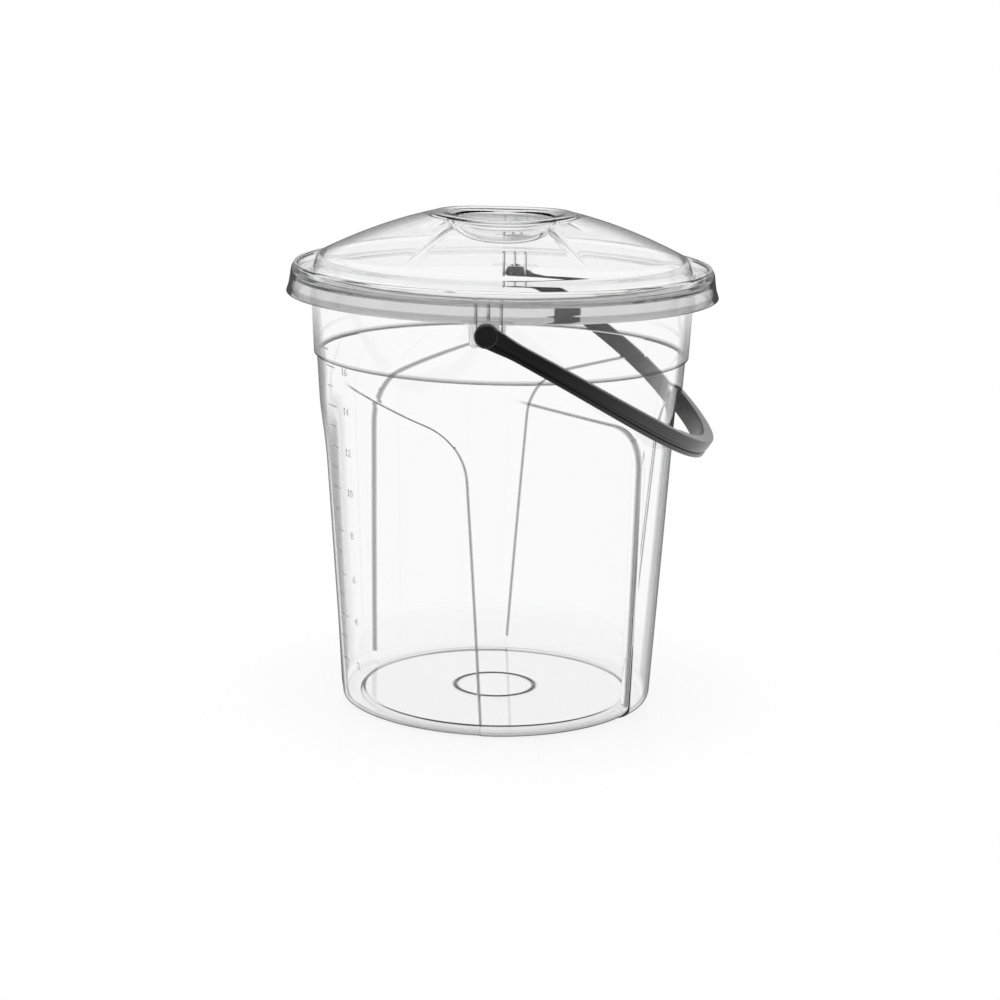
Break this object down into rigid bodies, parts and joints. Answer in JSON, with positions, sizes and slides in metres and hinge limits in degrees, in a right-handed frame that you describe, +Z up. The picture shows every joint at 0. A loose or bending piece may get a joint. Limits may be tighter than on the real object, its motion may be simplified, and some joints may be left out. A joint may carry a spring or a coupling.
{
  "type": "storage bucket",
  "caption": "Clear plastic storage bucket with pressed swoosh panels, a lift-off domed lid with a finger bowl, and a black bail handle.",
  "frame": {"origin": "centre of the base, on the surface that the bucket stands on", "axes": "+Z up along the bucket's axis; the handle's pivot axis is along Y; the handle hangs down towards +X"},
  "size_m": [0.3497, 0.37, 0.4026],
  "materials": {
    "clear_plastic": "clear gloss",
    "black_plastic": "satin"
  },
  "bodies": {
    "bucket": {"bucket": "clear_plastic"},
    "lid": {"lid": "clear_plastic"},
    "handle": {"handle": "black_plastic"}
  },
  "joints": [
    {"name": "lid_lift", "type": "slide", "parent": "bucket", "child": "lid", "axis": [0, 0, 1], "range_m": [0, 0.12]},
    {"name": "handle_swing", "type": "hinge", "parent": "bucket", "child": "handle", "pos_m": [0, 0, 0.3298], "axis": [0, -1, 0], "range_deg": [-7.5, 253]}
  ]
}
